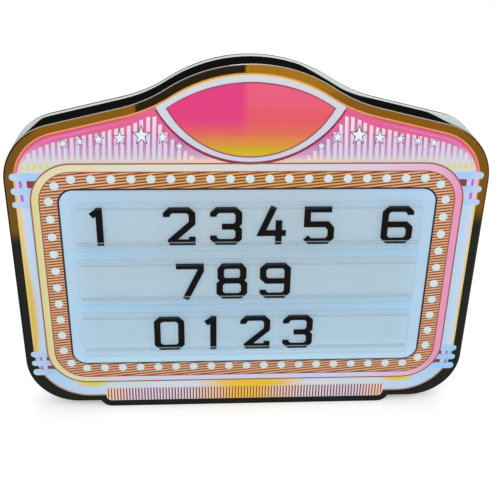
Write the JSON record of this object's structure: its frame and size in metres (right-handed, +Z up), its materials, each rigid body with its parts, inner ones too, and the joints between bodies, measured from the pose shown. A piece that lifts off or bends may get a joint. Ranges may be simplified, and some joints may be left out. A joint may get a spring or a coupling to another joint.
{
  "type": "light-up letter board",
  "caption": "Free-standing lit marquee sign with a domed outline, a ring of bulbs round a window, clear rails holding sliding letter cards, and a battery box and switch on the back.",
  "frame": {"origin": "Middle of the flat underside of the foot, on the plane that the board stands on, half way through the case's depth.", "axes": "+X to the right as seen from the front, +Y from the front to the back, +Z up."},
  "size_m": [0.45, 0.0482, 0.3668],
  "materials": {
    "gold_mirror": "gold mirror acrylic",
    "opal_bulb": "opal acrylic",
    "opal_white": "opal acrylic",
    "clear_acrylic": "clear acrylic",
    "clear_card": "clear sheet plastic",
    "black_gloss": "gloss black",
    "white_board": "white foam board",
    "zinc_steel": "zinc plated",
    "strip_white": "white board",
    "light_chip": "light chip",
    "green_board": "green board",
    "black_matte": "moulded black",
    "rocker_black": "moulded black",
    "cell_wrap": "plain wrapped cell",
    "brass_contact": "brass",
    "wire_red": "wire sleeve",
    "wire_white": "wire sleeve"
  },
  "bodies": {
    "housing": {"front_panel": "gold_mirror", "bulb_lenses": "opal_bulb", "window_diffuser": "opal_white", "rail_plate": "clear_acrylic", "side_wall": "black_gloss", "back_board": "white_board", "back_cover": "black_gloss", "screw_blocks": "clear_acrylic", "cover_screws": "zinc_steel", "row_strips": "strip_white", "row_chips": "light_chip", "bulb_strips": "strip_white", "bulb_chips": "light_chip", "driver_board": "green_board", "battery_tray": "black_matte", "battery_cells": "cell_wrap", "contact_leaves": "zinc_steel", "switch_body": "black_matte", "switch_terminals": "brass_contact", "charge_jack": "black_matte", "jack_nut": "zinc_steel", "battery_leads": "wire_red", "switch_lead": "wire_red", "strip_leads": "wire_white", "rail_1_upper": "clear_acrylic", "rail_1_lower": "clear_acrylic", "rail_2_upper": "clear_acrylic", "rail_2_lower": "clear_acrylic", "rail_3_upper": "clear_acrylic", "rail_3_lower": "clear_acrylic"},
    "card_1_1": {"card_1_1": "clear_card"},
    "card_1_2": {"card_1_2": "clear_card"},
    "card_1_3": {"card_1_3": "clear_card"},
    "card_1_4": {"card_1_4": "clear_card"},
    "card_1_5": {"card_1_5": "clear_card"},
    "card_1_6": {"card_1_6": "clear_card"},
    "card_2_1": {"card_2_1": "clear_card"},
    "card_2_2": {"card_2_2": "clear_card"},
    "card_2_3": {"card_2_3": "clear_card"},
    "card_3_1": {"card_3_1": "clear_card"},
    "card_3_2": {"card_3_2": "clear_card"},
    "card_3_3": {"card_3_3": "clear_card"},
    "card_3_4": {"card_3_4": "clear_card"},
    "switch_rocker": {"switch_rocker": "rocker_black"},
    "battery_door": {"battery_door": "black_matte"}
  },
  "joints": [
    {"name": "card_1_1_slide", "type": "slide", "parent": "housing", "child": "card_1_1", "axis": [1, 0, 0], "range_m": [0, 0.016]},
    {"name": "card_1_3_slide", "type": "slide", "parent": "housing", "child": "card_1_3", "axis": [1, 0, 0], "range_m": [-0.008, 0.008]},
    {"name": "card_1_2_slide", "type": "slide", "parent": "card_1_3", "child": "card_1_2", "axis": [1, 0, 0], "range_m": [-0.008, 0]},
    {"name": "card_1_4_slide", "type": "slide", "parent": "card_1_3", "child": "card_1_4", "axis": [1, 0, 0], "range_m": [0, 0.004]},
    {"name": "card_1_5_slide", "type": "slide", "parent": "card_1_4", "child": "card_1_5", "axis": [1, 0, 0], "range_m": [0, 0.004]},
    {"name": "card_1_6_slide", "type": "slide", "parent": "housing", "child": "card_1_6", "axis": [1, 0, 0], "range_m": [-0.016, 0]},
    {"name": "card_2_2_slide", "type": "slide", "parent": "housing", "child": "card_2_2", "axis": [1, 0, 0], "range_m": [-0.04, 0.06]},
    {"name": "card_2_1_slide", "type": "slide", "parent": "card_2_2", "child": "card_2_1", "axis": [1, 0, 0], "range_m": [-0.04, 0]},
    {"name": "card_2_3_slide", "type": "slide", "parent": "card_2_2", "child": "card_2_3", "axis": [1, 0, 0], "range_m": [0, 0.055]},
    {"name": "card_3_2_slide", "type": "slide", "parent": "housing", "child": "card_3_2", "axis": [1, 0, 0], "range_m": [-0.03, 0.03]},
    {"name": "card_3_1_slide", "type": "slide", "parent": "card_3_2", "child": "card_3_1", "axis": [1, 0, 0], "range_m": [-0.03, 0]},
    {"name": "card_3_3_slide", "type": "slide", "parent": "card_3_2", "child": "card_3_3", "axis": [1, 0, 0], "range_m": [0, 0.025]},
    {"name": "card_3_4_slide", "type": "slide", "parent": "card_3_3", "child": "card_3_4", "axis": [1, 0, 0], "range_m": [0, 0.03]},
    {"name": "battery_door_hinge", "type": "hinge", "parent": "housing", "child": "battery_door", "pos_m": [0, 0.0175, 0.0077], "axis": [-1, 0, 0], "range_deg": [0, 90]},
    {"name": "rocker_tilt", "type": "hinge", "parent": "housing", "child": "switch_rocker", "pos_m": [0.11795, 0.0185, 0.0242], "axis": [1, 0, 0], "range_deg": [0, 20]}
  ]
}
